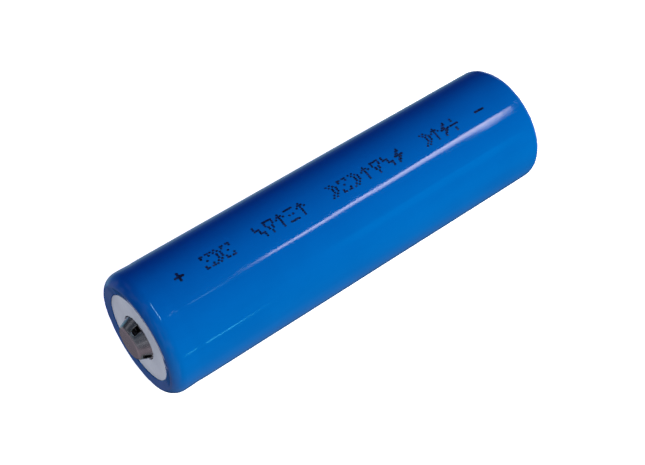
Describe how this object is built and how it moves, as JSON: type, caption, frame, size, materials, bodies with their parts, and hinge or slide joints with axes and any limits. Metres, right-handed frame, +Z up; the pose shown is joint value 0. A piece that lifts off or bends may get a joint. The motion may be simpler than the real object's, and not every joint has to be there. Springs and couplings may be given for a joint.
{
  "type": "cylindrical battery cell",
  "caption": "Cylindrical rechargeable battery cell in a glossy heat-shrink sleeve, with a raised vented button contact at one end and a flat steel base at the other.",
  "frame": {"origin": "on the cell's axis, midway along its overall length, button included", "axes": "+X along the axis from the positive button towards the negative base, +Z up when the cell lies on its side"},
  "size_m": [0.0676, 0.0184, 0.0184],
  "materials": {
    "sleeve_film": "glossy blue heat-shrink film",
    "washer_paper": "off-white insulating washer",
    "can_steel": "nickel-plated steel, satin",
    "cap_steel": "nickel-plated steel, smooth pressed",
    "gasket_plastic": "moulded polypropylene",
    "ptc_polymer": "carbon-filled polymer",
    "vent_aluminium": "rolled aluminium",
    "insulator_plastic": "natural plastic sheet",
    "aluminium_foil": "bright rolled foil",
    "cathode_mass": "black pressed powder",
    "graphite_mass": "dark grey pressed powder",
    "separator_film": "white porous film",
    "copper_foil": "copper-coloured rolled foil",
    "nickel_strip": "nickel strip",
    "winding_tape": "green polyester tape"
  },
  "bodies": {
    "cell": {"sleeve": "sleeve_film", "top_washer": "washer_paper", "can": "can_steel", "header_gasket": "gasket_plastic", "positive_cap": "cap_steel", "ptc_ring": "ptc_polymer", "vent_disc": "vent_aluminium", "cid_insulator": "gasket_plastic", "cid_plate": "vent_aluminium", "top_insulator": "insulator_plastic", "cathode_tab": "aluminium_foil", "cathode_foil": "aluminium_foil", "cathode_coating_inner": "cathode_mass", "cathode_coating_outer": "cathode_mass", "separator_inner": "separator_film", "separator_outer": "separator_film", "anode_foil": "copper_foil", "anode_coating_inner": "graphite_mass", "anode_coating_outer": "graphite_mass", "anode_tab": "nickel_strip", "winding_tape": "winding_tape", "centre_pin": "can_steel", "bottom_insulator": "insulator_plastic"},
    "vent_dome": {"vent_disc_dome": "vent_aluminium"}
  },
  "joints": [
    {"name": "vent_snap", "type": "slide", "parent": "cell", "child": "vent_dome", "axis": [-1, 0, 0], "range_m": [0, 0.0006]}
  ]
}
